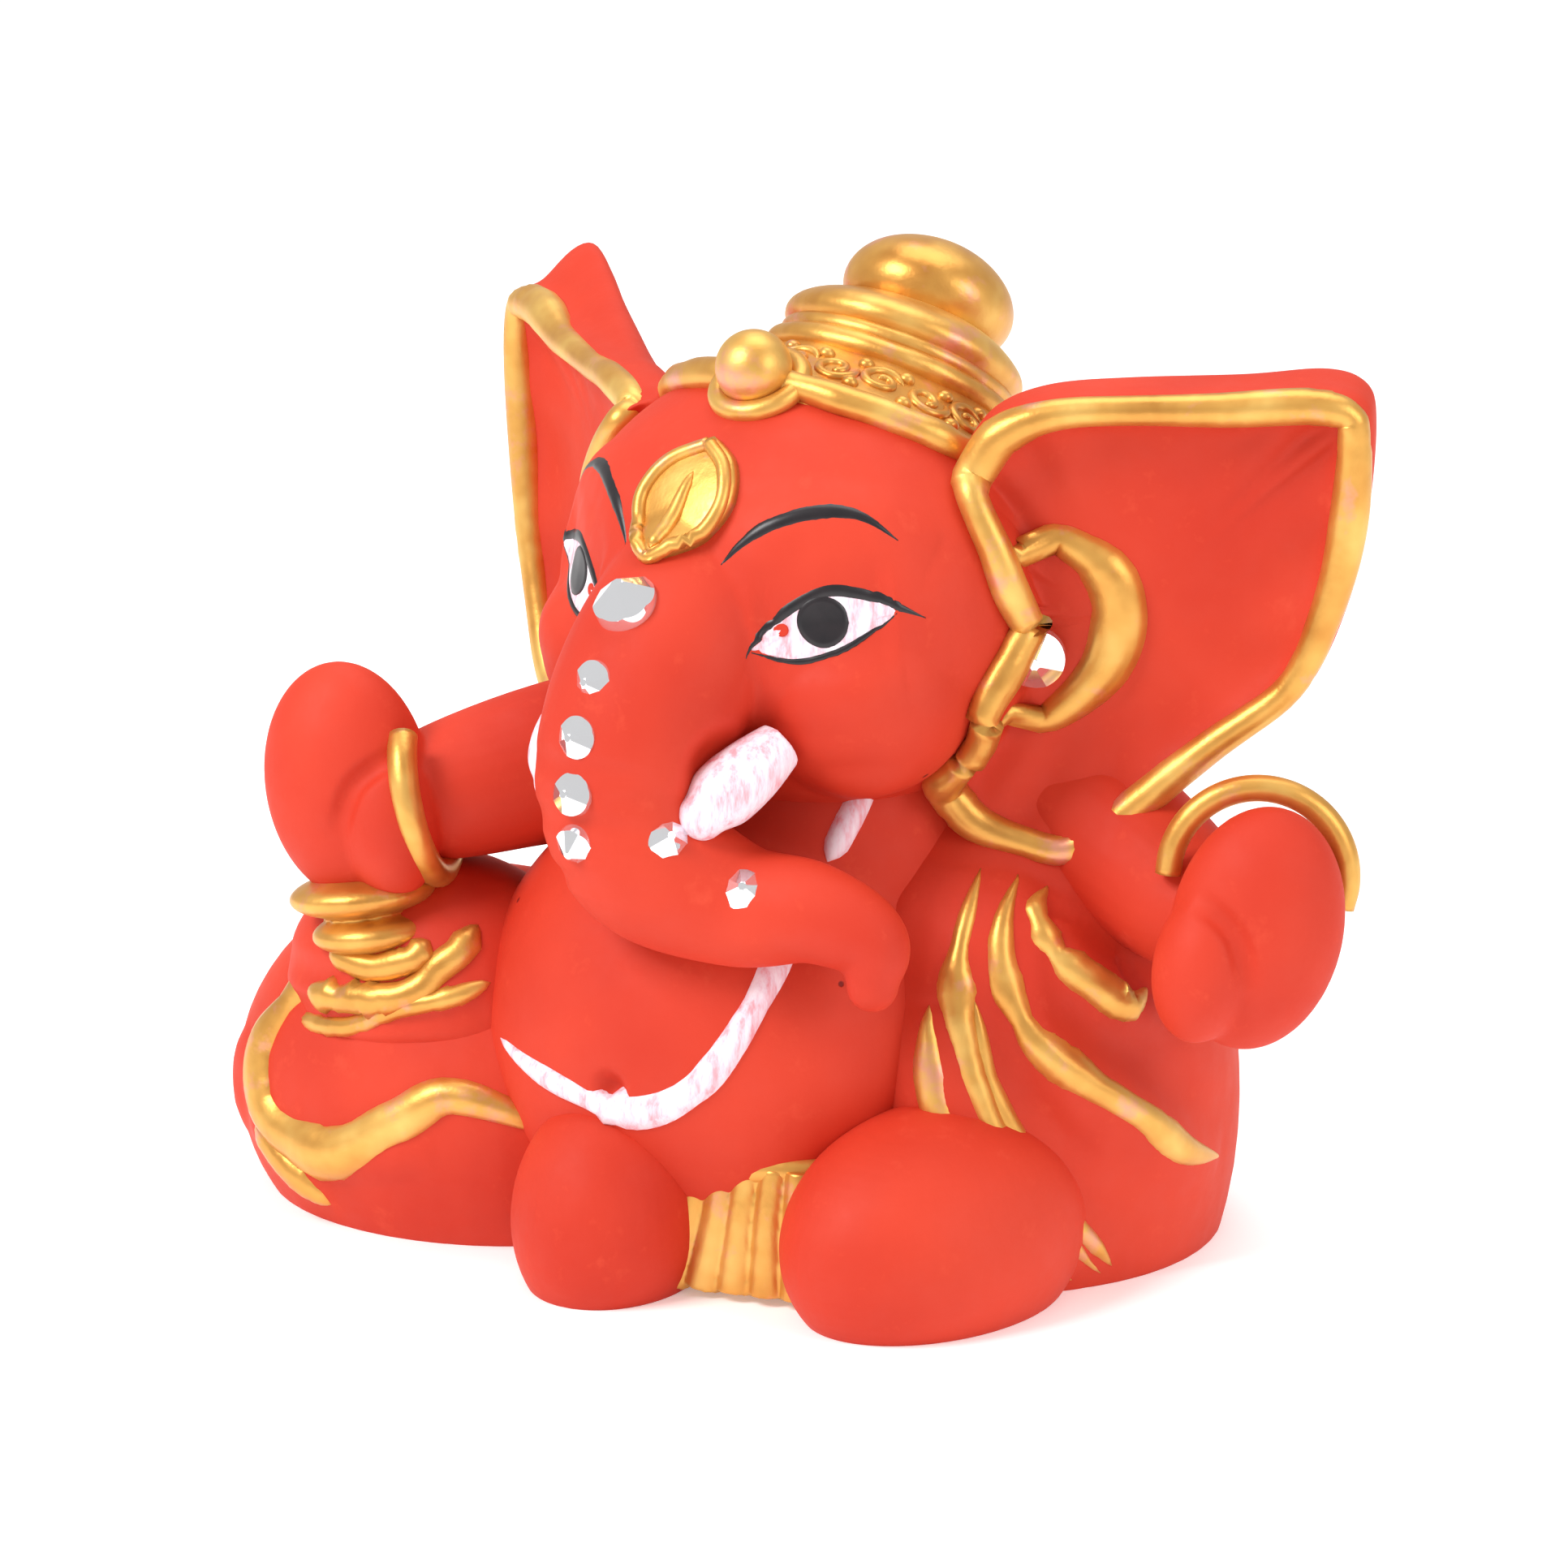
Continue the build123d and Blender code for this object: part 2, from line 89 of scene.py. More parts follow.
# ---------------------------------------------------------------- shaping clay
def egg(place, size, turn=(0, 0, 0)):
    """An egg of clay: size is its full width, depth and height in mm, turn its tilt in degrees."""
    angles = tuple(radians(a) for a in turn)
    bpy.ops.mesh.primitive_uv_sphere_add(segments=48, ring_count=32, radius=0.5, location=place,
                                         rotation=angles)
    lump = bpy.context.object
    lump.scale = [s * MM for s in size]
    bpy.ops.object.transform_apply(location=True, rotation=True, scale=True)
    return lump


def roll(marks, steps=8, sides=28):
    """A roll of clay along marks of (place, radius in mm)."""
    line = smooth_line([(*place, radius) for place, radius in marks], steps)
    places = [Vector(p) for p in line[:, :3]]
    radii = line[:, 3] * MM
    mesh = bmesh.new()
    rings = []
    side = None
    for k, place in enumerate(places):
        along = (places[min(k + 1, len(places) - 1)] - places[max(k - 1, 0)]).normalized()
        if side is None:
            side = along.orthogonal()
        side = (side - along * side.dot(along)).normalized()
        rise = side.cross(along)
        ring = []
        for s in range(sides):
            a = 2 * pi * s / sides
            ring.append(mesh.verts.new(place + (side * cos(a) + rise * sin(a)) * radii[k]))
        rings.append(ring)
    for low, high in zip(rings, rings[1:]):
        for s in range(sides):
            mesh.faces.new((low[s], low[(s + 1) % sides], high[(s + 1) % sides], high[s]))
    mesh.faces.new(rings[0][::-1])
    mesh.faces.new(rings[-1])
    return finish_mesh("roll", mesh)


def finish_mesh(name, mesh, smooth=True):
    """Makes an object of a bmesh, its normals outward."""
    bmesh.ops.recalc_face_normals(mesh, faces=mesh.faces)
    data = bpy.data.meshes.new(name)
    mesh.to_mesh(data)
    mesh.free()
    piece = bpy.data.objects.new(name, data)
    bpy.context.collection.objects.link(piece)
    pick(piece)
    if smooth:
        bpy.ops.object.shade_smooth()
    return piece


def pick(*objects):
    """Selects these objects alone, the first of them active."""
    bpy.ops.object.select_all(action="DESELECT")
    for item in objects:
        item.select_set(True)
    bpy.context.view_layer.objects.active = objects[0]


def fuse(name, lumps, grain=0.45, soften=8, base=False):
    """Presses lumps of clay into one skin, smooths their joins, and cuts a flat base if asked."""
    pick(*lumps)
    if len(lumps) > 1:
        bpy.ops.object.join()
    piece = bpy.context.object
    piece.name = name
    skin = piece.modifiers.new("skin", "REMESH")
    skin.mode = "VOXEL"
    skin.voxel_size = grain * MM
    bpy.ops.object.modifier_apply(modifier="skin")
    if soften:
        calm = piece.modifiers.new("calm", "SMOOTH")
        calm.factor = 0.5
        calm.iterations = soften
        bpy.ops.object.modifier_apply(modifier="calm")
    if base:
        bpy.ops.object.mode_set(mode="EDIT")
        bpy.ops.mesh.select_all(action="SELECT")
        bpy.ops.mesh.bisect(plane_co=(0, 0, 0), plane_no=(0, 0, 1), use_fill=True, clear_inner=True)
        bpy.ops.object.mode_set(mode="OBJECT")
    bpy.ops.object.shade_smooth()
    return piece


def points_of(piece):
    """A piece's vertex places and normals as arrays."""
    count = len(piece.data.vertices)
    co = np.empty(count * 3)
    no = np.empty(count * 3)
    piece.data.vertices.foreach_get("co", co)
    piece.data.vertices.foreach_get("normal", no)
    return co.reshape(-1, 3), no.reshape(-1, 3)


def set_points(piece, co):
    """Moves a piece's vertices to these places."""
    piece.data.vertices.foreach_set("co", co.reshape(-1))
    piece.data.update()


def line_distance(co, line):
    """How far each place is from a line of many short runs, and how far along it is, 0 to 1."""
    best = np.full(len(co), 1e9)
    share = np.zeros(len(co))
    for k, (a, b) in enumerate(zip(line, line[1:])):
        run = b - a
        t = np.clip(((co - a) @ run) / max(run @ run, 1e-18), 0, 1)
        away = np.linalg.norm(co - (a + t[:, None] * run), axis=1)
        nearer = away < best
        best[nearer] = away[nearer]
        share[nearer] = (k + t[nearer]) / (len(line) - 1)
    return best, share


def stroke(piece, marks, wide, high, fade=0.25, sharp=2.0):
    """Pushes the skin out, or in if high is negative, along a line of places; wide and high in mm."""
    co, no = points_of(piece)
    line = smooth_line(marks, 6) if len(marks) > 1 else np.array([list(marks[0]), list(marks[0])], float)
    low, up = line.min(0) - wide * MM, line.max(0) + wide * MM
    near = np.all((co > low) & (co < up), axis=1)
    if not near.any():
        return
    away, share = line_distance(co[near], line)
    soft = np.clip(1 - (away / (wide * MM)) ** 2, 0, 1) ** sharp
    if fade and len(marks) > 1:
        soft *= np.clip(np.minimum(share, 1 - share) / fade, 0, 1) ** 0.7
    co[near] += no[near] * (soft * high * MM)[:, None]
    set_points(piece, co)


def skin_tree(piece):
    """A piece's skin, ready for finding the nearest place on it."""
    mesh = piece.data
    return BVHTree.FromPolygons([v.co for v in mesh.vertices], [p.vertices for p in mesh.polygons])


def onto(host, place, direction=None):
    """The place and normal on a host's skin, nearest or where a line along direction first meets it."""
    if host.name not in TREES:
        TREES[host.name] = skin_tree(host)
    tree = TREES[host.name]
    if direction is None:
        spot, normal, _, _ = tree.find_nearest(Vector(place))
    else:
        spot, normal, _, _ = tree.ray_cast(Vector(place), Vector(direction))
    return spot, normal


TREES = {}


def bead(name, host, marks, wide, high, steps=8, sides=14, taper=0.12, wobble=0.05, seed=1):
    """A raised line on a host's skin: a round roll sunk until it shows wide mm across and high mm proud."""
    rng = np.random.default_rng(seed)
    marks = [tuple(m) if len(m) > 3 else (*m, 1.0) for m in marks]
    line = smooth_line(marks, steps)
    count = len(line)
    wave = np.interp(np.arange(count), np.linspace(0, count, 14), 1 + wobble * rng.standard_normal(14))
    rings = []
    mesh = bmesh.new()
    spots = []
    for x, y, z, _ in line:
        spots.append(onto(host, (x, y, z)))
    for k in range(count):
        spot, normal = spots[k]
        share = k / (count - 1)
        end = min(share, 1 - share) / max(taper, 1e-6)
        size = line[k, 3] * wave[k] * min(1.0, sqrt(max(end, 0.0)) if taper else 1.0)
        half = max(wide / 2 * size, 0.04)
        tall = max(high * min(1.0, size), 0.02)
        radius = (half * half + tall * tall) / (2 * tall)
        radius = max(min(radius, half * 2.2), half)
        middle = spot + normal * (tall - radius) * MM
        ahead = spots[min(k + 1, count - 1)][0] - spots[max(k - 1, 0)][0]
        side = ahead.cross(normal).normalized()
        rise = normal
        ring = []
        for s in range(sides):
            a = 2 * pi * s / sides
            ring.append(mesh.verts.new(middle + (side * cos(a) + rise * sin(a)) * radius * MM))
        rings.append(ring)
    for low, up in zip(rings, rings[1:]):
        for s in range(sides):
            mesh.faces.new((low[s], low[(s + 1) % sides], up[(s + 1) % sides], up[s]))
    mesh.faces.new(rings[0][::-1])
    mesh.faces.new(rings[-1])
    return finish_mesh(name, mesh)


# ---------------------------------------------------------------- paint
def linear(code):
    """A paint colour from its sRGB hex code."""
    parts = [int(code[k:k + 2], 16) / 255 for k in (1, 3, 5)]
    return tuple(p / 12.92 if p <= 0.04045 else ((p + 0.055) / 1.055) ** 2.4 for p in parts) + (1.0,)


def start(name):
    """A new material and its tree, with the shader and the object's own coordinates."""
    material = bpy.data.materials.new(name)
    material.use_nodes = True
    tree = material.node_tree
    shader = tree.nodes["Principled BSDF"]
    place = add(tree, "ShaderNodeTexCoord")
    return material, tree, shader, place.outputs["Object"]


def add(tree, kind, links=None, **settings):
    """One node: settings are its properties or its inputs' values, links join outputs to its inputs."""
    node = tree.nodes.new(kind)
    for key, value in settings.items():
        name = key.replace("_", " ")
        if hasattr(node, key):
            setattr(node, key, value)
        else:
            node.inputs[name[0].upper() + name[1:]].default_value = value
    for key, output in (links or {}).items():
        tree.links.new(output, node.inputs[key])
    return node


def grain(tree, place, size_mm, detail=2.0, rough=0.5):
    """Even noise whose blobs are about size_mm wide."""
    node = add(tree, "ShaderNodeTexNoise", {"Vector": place}, scale=0.5 / (size_mm * MM), detail=detail)
    node.inputs["Roughness"].default_value = rough
    return node.outputs["Fac"]


def ramp(tree, value, *stops):
    """A colour or value ramp over (place, colour) stops."""
    node = add(tree, "ShaderNodeValToRGB", {"Fac": value})
    band = node.color_ramp
    while len(band.elements) < len(stops):
        band.elements.new(0.5)
    for element, (spot, colour) in zip(band.elements, stops):
        element.position = spot
        element.color = colour if len(colour) == 4 else (*colour, 1)
    return node.outputs["Color"]


def grey(v):
    """A plain grey for a value ramp."""
    return (v, v, v, 1.0)


def blend_colours(tree, factor, first, second):
    """Second over first by factor; each is a colour or an output."""
    node = tree.nodes.new("ShaderNodeMix")
    node.data_type = "RGBA"
    for socket, value in ((node.inputs[0], factor), (node.inputs[6], first), (node.inputs[7], second)):
        if hasattr(value, "is_output"):
            tree.links.new(value, socket)
        else:
            socket.default_value = value
    return node.outputs[2]


def maths(tree, operation, *values):
    """One step of arithmetic on numbers or outputs."""
    node = tree.nodes.new("ShaderNodeMath")
    node.operation = operation
    for socket, value in zip(node.inputs, values):
        if hasattr(value, "is_output"):
            tree.links.new(value, socket)
        else:
            socket.default_value = value
    return node.outputs[0]


def bump(tree, shader, height, depth_mm, strength=1.0, after=None):
    """Relief of depth_mm from a height between 0 and 1."""
    links = {"Height": height}
    if after is not None:
        links["Normal"] = after
    node = add(tree, "ShaderNodeBump", links, strength=strength, distance=depth_mm * MM)
    tree.links.new(node.outputs["Normal"], shader.inputs["Normal"])
    return node.outputs["Normal"]


VERMILION = "#D03A20"
VERMILION_DEEP = "#C22D14"
VERMILION_DUSTY = "#DA4E34"


def vermilion_coat(tree, place):
    """The colour of brushed-on matte red: broad soft unevenness and chalky rubs."""
    broad = grain(tree, place, 9.0, 3.0)
    colour = ramp(tree, broad, (0.35, linear(VERMILION_DEEP)), (0.65, linear(VERMILION)))
    fine = grain(tree, place, 1.6, 4.0, 0.7)
    rub = ramp(tree, fine, (0.60, grey(0.0)), (0.80, grey(0.5)))
    colour = blend_colours(tree, rub, colour, linear(VERMILION_DUSTY))
    return colour, broad, fine


def matte_distemper():
    """Matte vermilion distemper over plaster-resin: chalky, soft, hardly any gloss, tiny casting pinholes darkened
    inside with painted shade.
    """
    material, tree, shader, place = start("matte vermilion distemper")
    colour, broad, fine = vermilion_coat(tree, place)
    holes = add(tree, "ShaderNodeTexVoronoi", {"Vector": place}, scale=1 / (4.6 * MM), randomness=1.0)
    pit_and_painted_shade = ramp(tree, holes.outputs["Distance"], (0.0, grey(1.0)), (0.045, grey(1.0)), (0.065, grey(0.0)))
    chosen = add(tree, "ShaderNodeSeparateColor", {"Color": holes.outputs["Color"]})
    pit_and_painted_shade = maths(tree, "MULTIPLY", pit_and_painted_shade, maths(tree, "GREATER_THAN", chosen.outputs[0], 0.93))
    # painted shade: each pinhole is coloured dark red for the shade inside it, while the pit itself is a real dent in
    # the bump below
    colour = blend_colours(tree, pit_and_painted_shade, colour, linear("#7A1206"))
    tree.links.new(colour, shader.inputs["Base Color"])
    rough = ramp(tree, fine, (0.3, grey(0.60)), (0.7, grey(0.72)))
    tree.links.new(rough, shader.inputs["Roughness"])
    shader.inputs["Specular IOR Level"].default_value = 0.36
    skin = grain(tree, place, 0.55, 5.0, 0.6)
    height = maths(tree, "SUBTRACT", maths(tree, "MULTIPLY", skin, 0.35), maths(tree, "MULTIPLY", pit_and_painted_shade, 1.0))
    height = maths(tree, "ADD", height, maths(tree, "MULTIPLY", grain(tree, place, 3.2, 2.0), 0.9))
    bump(tree, shader, height, 0.10, 0.55)
    return material


def gold_paint():
    """Gold metallic paint brushed by hand: satin flakes, browner and lighter in broad random patches, pink where the
    coat is thin.
    """
    material, tree, shader, place = start("brushed gold metallic paint")
    broad = grain(tree, place, 3.4, 3.0, 0.6)
    colour = ramp(tree, broad, (0.30, linear("#C98A3E")), (0.52, linear("#DDA552")), (0.75, linear("#EBC36E")))
    thin = grain(tree, place, 2.2, 4.0, 0.65)
    patches = ramp(tree, thin, (0.57, grey(0.0)), (0.72, grey(0.75)))
    colour = blend_colours(tree, patches, colour, linear("#E59A8C"))
    tree.links.new(colour, shader.inputs["Base Color"])
    shader.inputs["Metallic"].default_value = 0.72
    flakes = grain(tree, place, 0.12, 2.0, 0.8)
    rough = ramp(tree, broad, (0.3, grey(0.30)), (0.7, grey(0.46)))
    tree.links.new(rough, shader.inputs["Roughness"])
    height = maths(tree, "ADD", maths(tree, "MULTIPLY", flakes, 0.10), maths(tree, "MULTIPLY", thin, 0.9))
    bump(tree, shader, height, 0.16, 0.6)
    return material


def pearl_paint():
    """Pinkish white paint over red: long brush streaks that let the red through."""
    material, tree, shader, place = start("pearl white brushed paint")
    streaks = tree.nodes.new("ShaderNodeMapping")
    tree.links.new(place, streaks.inputs["Vector"])
    streaks.inputs["Rotation"].default_value = (0.3, 0.5, 0.5)
    streaks.inputs["Scale"].default_value = (1.0, 1.0, 0.22)
    lines = grain(tree, streaks.outputs["Vector"], 0.5, 4.0, 0.7)
    colour = ramp(tree, lines, (0.36, linear("#E9A3AE")), (0.50, linear("#F0D8E4")), (0.62, linear("#F6ECF4")))
    tree.links.new(colour, shader.inputs["Base Color"])
    shader.inputs["Roughness"].default_value = 0.42
    bump(tree, shader, lines, 0.10, 0.6)
    return material


def foil_crystal():
    """Cut glass over silver foil: clear, hard sparkle, bright and dark facets."""
    material, tree, shader, place = start("foil backed cut crystal")
    shader.inputs["Base Color"].default_value = linear("#F4F6FA")
    shader.inputs["Metallic"].default_value = 0.88
    shader.inputs["Roughness"].default_value = 0.04
    return material


def black_enamel():
    """Thin black line paint, with random lighter patches painted in as a sheen."""
    material, tree, shader, place = start("black liner paint")
    painted_sheen = grain(tree, place, 0.8, 3.0)
    # painted sheen: the black is a little lighter where this noise is high, standing in for gloss
    colour = ramp(tree, painted_sheen, (0.3, linear("#120F14")), (0.7, linear("#221A1E")))
    tree.links.new(colour, shader.inputs["Base Color"])
    shader.inputs["Roughness"].default_value = 0.34
    return material


RED = matte_distemper()
GOLD = gold_paint()
PEARL = pearl_paint()
CRYSTAL = foil_crystal()
BLACK = black_enamel()


def keep(piece, material, *nodes):
    """Gives a finished piece its paint, and lets it stand for its nodes of the frame."""
    piece.data.materials.clear()
    piece.data.materials.append(material)
    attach(piece, "root")
    if nodes:
        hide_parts(*nodes)
    return piece


# ---------------------------------------------------------------- body
BELLY = ((-6.5, -9, 17), (38.5, 35, 38))
CHEST = ((-3.5, -3, 29), (33, 27, 38))
THIGH = ((-28, -6, 8.2), (40, 34, 34))
DRAPE = ((11.6, 1, 10), (37.4, 38, 56))
SHAWL = ((-29.7, -11.5, 18.2), (24, 20.6, 20))


def skin_place(form, turn, rise):
    """The place on an egg's skin: turn from the front towards the left side, rise above its middle, degrees."""
    (x, y, z), (w, d, h) = form
    t, r = radians(turn), radians(rise)
    return at(x + w / 2 * sin(t) * cos(r), y - d / 2 * cos(t) * cos(r), z + h / 2 * sin(r))


def laid(form, marks):
    """Places on a form's skin for marks of (turn, rise) or (turn, rise, size)."""
    return [(*skin_place(form, *m[:2]), *(m[2:] or (1.0,))) for m in marks]


def form_egg(form, turn=(0, 0, 0)):
    """The egg of clay for one of the body's forms."""
    return egg(at(*form[0]), form[1], turn)


torso = fuse("torso_skin", [form_egg(BELLY), form_egg(CHEST)], soften=14, base=True)
stroke(torso, [skin_place(BELLY, -9, -2)], 1.7, -1.3, sharp=1.5)
keep(torso, RED, "torso")

thigh = fuse("right_thigh_skin", [form_egg(THIGH)], soften=4, base=True)
THIGH_FOLDS = (
    ((-52, -4), (-38, -14), (-20, -18)),
    ((-30, -6), (-12, -6), (8, 0)),
    ((-60, 16), (-66, 2), (-60, -12)),
)
for marks in THIGH_FOLDS:
    stroke(thigh, [skin_place(THIGH, *m) for m in marks], 2.4, 0.5)
keep(thigh, RED, "right_thigh")

drape = fuse("left_drape_skin", [form_egg(DRAPE)], soften=4, base=True)
FOLDS = (
    ((3, 26, 0.8), (5, 15), (10, 5), (19, -7), (28, -13), (38, -18.5, 0.5)),
    ((13, 51, 0.5), (9, 32), (12, 19), (19, 6), (30, -7), (46, -18.5, 0.5)),
    ((27, 50, 0.5), (21, 41), (21, 32), (28, 22), (39, 15), (53, 8), (67, 0), (85, -5, 0.4)),
    ((38, 48, 0.5), (31, 42), (36, 35), (46, 29), (54, 25), (63, 27, 0.5)),
)
for fold in FOLDS:
    ridge = [skin_place(DRAPE, *m[:2]) for m in fold]
    stroke(drape, ridge, 4.6, 1.1)
    valley = [skin_place(DRAPE, m[0] + 9, m[1] + 5) for m in fold]
    stroke(drape, valley, 3.4, -0.7)
keep(drape, RED, "left_drape")

shawl = fuse("right_shawl_skin", [form_egg(SHAWL)], soften=4)
for rise in (-18, -2, 16):
    stroke(shawl, [skin_place(SHAWL, t, rise + t * 0.12) for t in (-80, -50, -20, 10, 40)], 1.8, -0.55)
keep(shawl, RED, "right_shawl")

right_foot = fuse("right_foot_skin", [egg(at(-11, -21.5, 5.0), (15, 20, 19.3))], 0.3, 3, base=True)
keep(right_foot, RED, "right_foot")
left_foot = fuse("left_foot_skin", [egg(at(13.5, -18.3, 5.3), (19, 27, 19.9), (0, 0, -24))], 0.3, 3, base=True)
keep(left_foot, RED, "left_foot")


# ---------------------------------------------------------------- hands and arms
def tilted(place, turn, move):
    """A place moved from another in directions tilted with it, mm."""
    return place + Euler([radians(a) for a in turn]).to_matrix() @ (Vector(move) * MM)


def make_hand(name, place, turn, thumb, arm, nodes):
    """A mitten hand raised in blessing: palm, thumb beside it, and the arm it grows from."""
    lumps = [egg(place, (12.8, 9.5, 18.5), turn), roll(arm, 6)]
    lumps.append(egg(tilted(place, turn, (thumb * 3.3, -1.7, -3.1)), (7.6, 8.2, 11.8), turn))
    hand = fuse(name, lumps, 0.3, 5)
    crease_marks = ((5.0, -3.6, 2.2), (1.6, -5.0, 0.4), (-0.4, -5.2, -3.4))
    crease = [tilted(place, turn, (thumb * x, y, z)) for x, y, z in crease_marks]
    stroke(hand, crease, 1.3, -0.7)
    return keep(hand, RED, *nodes)


right_spot, right_tilt = at(-34.6, -17, 35), (-6, -8, 12)
right_arm = [(at(-13, 0, 36), 7.0), (at(-22, -7, 35), 6.2), (at(-29, -13, 33.5), 5.2), (at(-33, -16, 33), 3.5)]
right_hand = make_hand("right_hand_skin", right_spot, right_tilt, 1, right_arm, ("right_hand", "right_arm"))
left_spot, left_tilt = at(36.3, -12, 30), (-4, 10, 16)
left_arm = [(at(9, 3, 37), 7.0), (at(20, -1, 33), 6.4), (at(29, -6, 29.5), 5.4), (at(34, -10, 29), 3.5)]
left_hand = make_hand("left_hand_skin", left_spot, left_tilt, -1, left_arm, ("left_hand", "left_arm"))


def ring_line(place, turn, radius, tall, first, last, steps=14):
    """Marks along an arc about a tilted place."""
    marks = []
    for k in range(steps + 1):
        a = radians(first + (last - first) * k / steps)
        marks.append(tilted(place, turn, (radius * cos(a), radius * sin(a), tall)))
    return marks


cuff_spot = tilted(right_spot, right_tilt, (0, 0, -8.7))
cuff = fuse("right_wrist_cuff_skin", [
    egg(cuff_spot, (11.4, 9.6, 3.6), right_tilt),
    egg(tilted(cuff_spot, right_tilt, (0.5, 0, -3.0)), (9.6, 8.6, 3.4), right_tilt),
], 0.22, 3)
keep(cuff, GOLD, "right_wrist_cuff")
wrist_ring = ring_line(at(-29.2, -14.5, 34), (0, 78, 12), 6.2, 0, -150, 110)
keep(roll([(p, 1.15) for p in wrist_ring], 4, 16), GOLD, "right_bangle").name = "right_bangle_skin"
left_ring = ring_line(tilted(left_spot, left_tilt, (-0.6, 3.0, 3.2)), (84, 10, 16), 6.6, 0, -10, 190)
keep(roll([(p, 1.0) for p in left_ring], 4, 16), GOLD, "left_bangle").name = "left_bangle_skin"

# ---------------------------------------------------------------- pleats between the feet
folds = []
for k in range(5):
    x = (k - 2) * 2.15
    marks = [(at(x * 0.95 + 0.3, -22.4, 10.4), 1.25), (at(x + 0.15 * sin(k * 2.0), -23.0, 6), 1.4)]
    marks.append((at(x * 1.2 - 0.5, -23.4, 0.6), 1.55))
    folds.append(roll(marks, 6, 18))
folds.append(egg(at(0, -21.5, 4.8), (11, 4, 11)))
pleats = fuse("dhoti_pleats_skin", folds, 0.2, 2, base=True)
keep(pleats, GOLD, "dhoti_pleats")
band_marks = [(at(x, -22.6 + 0.05 * x * x, 10.2 + 0.2 * sin(x)), 1.25) for x in (-5.4, -3, 0, 3, 5.4)]
keep(roll(band_marks, 6, 18), GOLD, "pleat_waistband").name = "pleat_waistband_skin"


# ---------------------------------------------------------------- head and trunk
head_tilt = (0, 0, -17)
trunk_marks = [
    ((0, 14.5, 55), 7.0), ((0, 22.9, 49.5), 7.6), ((0, 28.1, 44), 7.3), ((-0.4, 29.7, 39), 6.4),
    ((2.0, 29.1, 34.0), 6.1), ((8, 26.7, 31.2), 4.7), ((14, 25.3, 31.4), 3.8), ((18.4, 24.1, 29.6), 3.0),
    ((18.8, 24.3, 26.4), 1.9),
]
head_lumps = [
    egg(on_head(0, 8, 50), (39, 35, 35), head_tilt),
    egg(on_head(9.5, 14, 45.5), (18, 18, 17), head_tilt),
    egg(on_head(-9.5, 14, 45.5), (18, 18, 17), head_tilt),
    roll([(on_head(*p), r) for p, r in trunk_marks], 8, 32),
    egg(on_head(*trunk_marks[-1][0]), (3.9, 3.9, 3.9)),
]
head = fuse("head_skin", head_lumps, 0.34, 12)


def on_both(marks, side):
    """Head marks as places, on the figure's left (1) or right (-1)."""
    return [on_head(side * a, b, c) for a, b, c in marks]


for side in (1, -1):
    stroke(head, on_both([(7.8, 24, 51.5), (12, 21.8, 52.6), (16, 18, 53)], side), 5.2, -0.75, 0.1)
    brow_ridge = [(4.4, 24, 56.2), (8.5, 20.6, 59.8), (12.6, 17.6, 59.6), (16.5, 14, 56.5)]
    stroke(head, on_both(brow_ridge, side), 3.4, 0.55)
    stroke(head, on_both([(7.4, 25, 48.2), (12, 23, 47.2), (17, 18, 48)], side), 3.6, 0.5)
    stroke(head, on_both([(5.4, 28.4, 42.8), (8.4, 27.6, 41.8), (10.4, 24.0, 41.8)], side), 3.6, -1.3, 0.1)
    stroke(head, on_both([(9.8, 24.5, 37.4), (12.6, 20.5, 38.6), (15, 15, 41)], side), 3.0, 0.6)
for k, (a, b, c) in enumerate(((0, 36.6, 42.6), (0, 36.2, 38.3), (0.4, 34.6, 33.8))):
    ring = [on_head(a + x, b - 0.09 * x * x, c - 0.03 * x * x) for x in (-6.4, -4, 0, 4, 6.4)]
    stroke(head, ring, 1.5, -0.35)
keep(head, RED, "head", "trunk")

for side, name in ((1, "left"), (-1, "right")):
    marks = [((9.4, 23.2, 43.0), 1.9), ((8.6, 25.8, 41.4), 2.5)]
    marks += [((7.6, 28.0, 39.8), 2.6), ((6.9, 29.2, 38.6), 1.9)]
    lumps = [roll([(on_head(side * a, b, c), r) for (a, b, c), r in marks], 6, 20)]
    lumps.append(egg(on_head(side * 6.8, 29.3, 38.5), (3.8, 3.8, 3.8)))
    tusk = fuse(name + "_tusk_skin", lumps, 0.22, 6)
    keep(tusk, PEARL, name + "_tusk")


# ---------------------------------------------------------------- painted eyes and brows
def stain(name, host, outline, material, lift=0.06, thick=0.14):
    """A patch of paint on a host's skin: outline is places in head millimetres, seen from in front of them."""
    ring = [Vector(on_head(*p)) for p in outline]
    middle = sum(ring, Vector()) / len(ring)
    spot, normal = onto(host, middle)
    across = Vector((0, 0, 1)).cross(normal).normalized()
    up = normal.cross(across)
    flat = [((p - middle).dot(across), (p - middle).dot(up)) for p in ring]
    flat = smooth_line(flat + [flat[0]], 6)[:-1]
    mesh = bmesh.new()
    rings = []
    for share in (1.0, 0.93, 0.75, 0.5, 0.25):
        rings.append([mesh.verts.new(middle + (across * x + up * y) * share) for x, y in flat])
    heart = mesh.verts.new(middle)
    count = len(flat)
    for outer, inner in zip(rings, rings[1:]):
        for k in range(count):
            mesh.faces.new((outer[k], outer[(k + 1) % count], inner[(k + 1) % count], inner[k]))
    for k in range(count):
        mesh.faces.new((rings[-1][k], rings[-1][(k + 1) % count], heart))
    edge = set(rings[0])
    for vert in mesh.verts:
        spot, normal = onto(host, vert.co)
        vert.co = spot + normal * (lift if vert not in edge else -0.05) * MM
    piece = finish_mesh(name, mesh)
    wall = piece.modifiers.new("coat", "SOLIDIFY")
    wall.thickness = thick * MM
    wall.offset = -1 if piece.data.polygons[0].normal.dot(onto(host, middle)[1]) > 0 else 1
    bpy.ops.object.modifier_apply(modifier="coat")
    piece.data.materials.clear()
    piece.data.materials.append(material)
    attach(piece, "root")
    return piece


